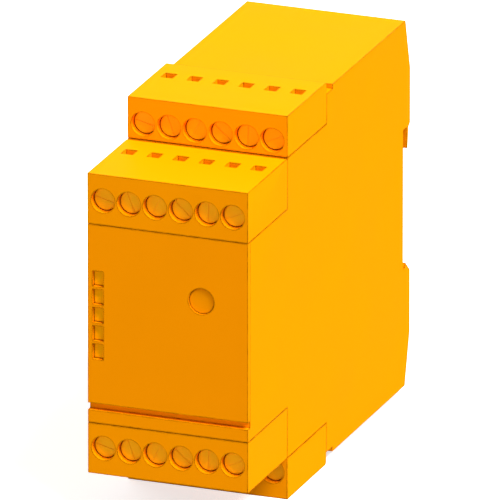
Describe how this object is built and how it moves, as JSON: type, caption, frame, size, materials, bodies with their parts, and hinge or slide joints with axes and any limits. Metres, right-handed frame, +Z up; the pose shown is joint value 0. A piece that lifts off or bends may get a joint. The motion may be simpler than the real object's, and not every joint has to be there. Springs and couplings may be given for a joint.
{
  "type": "safety relay",
  "caption": "Narrow box-shaped safety relay for rail mounting, with stepped rows of plug-in screw terminal blocks, status windows and a reset button.",
  "frame": {"origin": "middle of the bounding box in X and Y, at the underside of the lowest terminal block", "axes": "+X across the width, to the right seen from the front; +Y from the front face to the rail; +Z up along the row of terminals, as mounted on a horizontal rail"},
  "size_m": [0.045, 0.1212, 0.107],
  "materials": {
    "amber_plastic": "moulded plastic with a fine grain, amber yellow",
    "screw_steel": "yellow passivated steel",
    "clamp_steel": "zinc plated steel",
    "contact_brass": "tinned brass",
    "black_plastic": "moulded plastic, black",
    "board_laminate": "glass-fibre laminate, green lacquer",
    "guide_plastic": "tinted clear plastic",
    "lamp_resin": "clear cast resin",
    "switch_plastic": "moulded plastic, black",
    "relay_case": "sealed plastic case, light grey",
    "potting": "potted block, black",
    "film_case": "moulded plastic case, light grey",
    "spring_steel": "spring steel strip"
  },
  "bodies": {
    "housing": {"board_link_pins": "contact_brass", "board_link_strips": "black_plastic", "capacitors": "film_case", "display_board": "board_laminate", "display_link_pins": "contact_brass", "display_link_strips": "black_plastic", "front_board": "board_laminate", "front_cover": "amber_plastic", "header_bottom_front": "black_plastic", "header_bottom_rear": "black_plastic", "header_pins_bottom_front": "contact_brass", "header_pins_bottom_rear": "contact_brass", "header_pins_top_front": "contact_brass", "header_pins_top_rear": "contact_brass", "header_top_front": "black_plastic", "header_top_rear": "black_plastic", "housing_shell": "amber_plastic", "light_guide": "guide_plastic", "push_switch": "switch_plastic", "rail_spring": "spring_steel", "rear_board": "board_laminate", "relay_left": "relay_case", "relay_middle": "relay_case", "relay_right": "relay_case", "side_cover": "amber_plastic", "status_lamps": "lamp_resin", "supply_transformer": "potting"},
    "top_front_block": {"plug_top_front": "amber_plastic", "screws_top_front": "screw_steel", "clamps_top_front": "clamp_steel", "contacts_top_front": "contact_brass"},
    "top_rear_block": {"plug_top_rear": "amber_plastic", "screws_top_rear": "screw_steel", "clamps_top_rear": "clamp_steel", "contacts_top_rear": "contact_brass"},
    "bottom_front_block": {"plug_bottom_front": "amber_plastic", "screws_bottom_front": "screw_steel", "clamps_bottom_front": "clamp_steel", "contacts_bottom_front": "contact_brass"},
    "bottom_rear_block": {"plug_bottom_rear": "amber_plastic", "screws_bottom_rear": "screw_steel", "clamps_bottom_rear": "clamp_steel", "contacts_bottom_rear": "contact_brass"},
    "button": {"reset_button": "amber_plastic", "switch_plunger": "switch_plastic"}
  },
  "joints": [
    {"name": "top_front_pull", "type": "slide", "parent": "housing", "child": "top_front_block", "axis": [0, -1, 0], "range_m": [0, 0.032]},
    {"name": "top_rear_pull", "type": "slide", "parent": "housing", "child": "top_rear_block", "axis": [0, -1, 0], "range_m": [0, 0.062]},
    {"name": "bottom_front_pull", "type": "slide", "parent": "housing", "child": "bottom_front_block", "axis": [0, -1, 0], "range_m": [0, 0.032]},
    {"name": "bottom_rear_pull", "type": "slide", "parent": "housing", "child": "bottom_rear_block", "axis": [0, -1, 0], "range_m": [0, 0.062]},
    {"name": "button_press", "type": "slide", "parent": "housing", "child": "button", "axis": [0, 1, 0], "range_m": [0, 0.0012], "stiffness_N_per_m": 1500, "springref_m": -0.0007}
  ]
}
